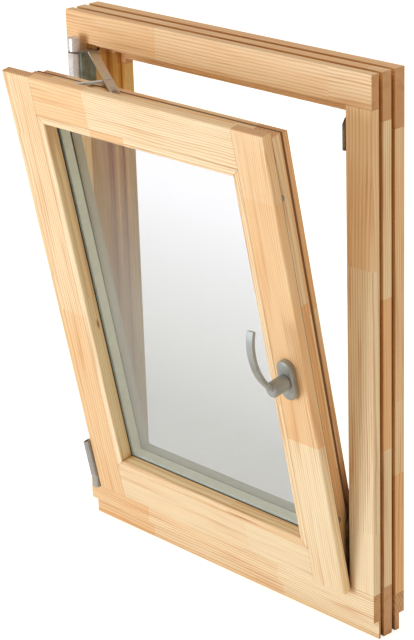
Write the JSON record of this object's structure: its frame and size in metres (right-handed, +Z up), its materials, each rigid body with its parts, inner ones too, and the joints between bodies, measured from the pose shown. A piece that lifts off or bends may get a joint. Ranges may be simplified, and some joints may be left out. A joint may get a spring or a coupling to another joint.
{
  "type": "wooden tilt and turn window",
  "caption": "Pine window with a double-glazed sash tilted in at the top, held by a stay arm, with a lever handle and left-hand hinges.",
  "frame": {"origin": "on the underside of the sill's middle tongue, midway across the frame's width and depth", "axes": "+X right as seen from the room, -Y towards the room, +Z up"},
  "size_m": [0.65, 0.2398, 0.88],
  "materials": {
    "pine": "clear satin lacquer over laminated pine",
    "anodised_rail": "satin anodised",
    "black_plastic": "fine matt",
    "glass": "clear float glass",
    "spacer": "mill finish, slightly dull",
    "black_seal": "matt",
    "brown_seal": "matt",
    "satin_silver": "satin anodised",
    "silver_cover": "satin, silver coloured",
    "zinc": "zinc plated, faintly yellow"
  },
  "bodies": {
    "root": {"frame_head": "pine", "frame_sill": "pine", "frame_left_jamb": "pine", "frame_right_jamb": "pine", "sash_left_stile": "pine", "sash_right_stile": "pine", "sash_top_rail": "pine", "sash_bottom_rail": "pine", "bead_left": "pine", "bead_right": "pine", "bead_top": "pine", "bead_bottom": "pine", "rain_rail": "anodised_rail", "rain_rail_left_cap": "black_plastic", "rain_rail_right_cap": "black_plastic", "inner_pane": "glass", "outer_pane": "glass", "spacer_bar": "spacer", "edge_seal": "black_seal", "inner_glazing_strip": "black_seal", "outer_glazing_strip": "black_seal", "sash_gasket": "brown_seal", "handle_rosette": "satin_silver", "handle_lever": "satin_silver", "stay_bearing": "zinc", "stay_bearing_cover": "silver_cover", "stay_bearing_cap": "silver_cover", "stay_arm": "zinc", "stay_link": "zinc", "stay_track": "zinc", "stay_slider": "zinc", "pivot_rest": "silver_cover", "corner_hinge": "silver_cover", "lock_faceplate": "zinc", "lock_cam_upper": "zinc", "lock_cam_lower": "zinc", "bottom_faceplate": "zinc", "keeper_upper": "zinc", "keeper_lower": "zinc"}
  },
  "joints": []
}
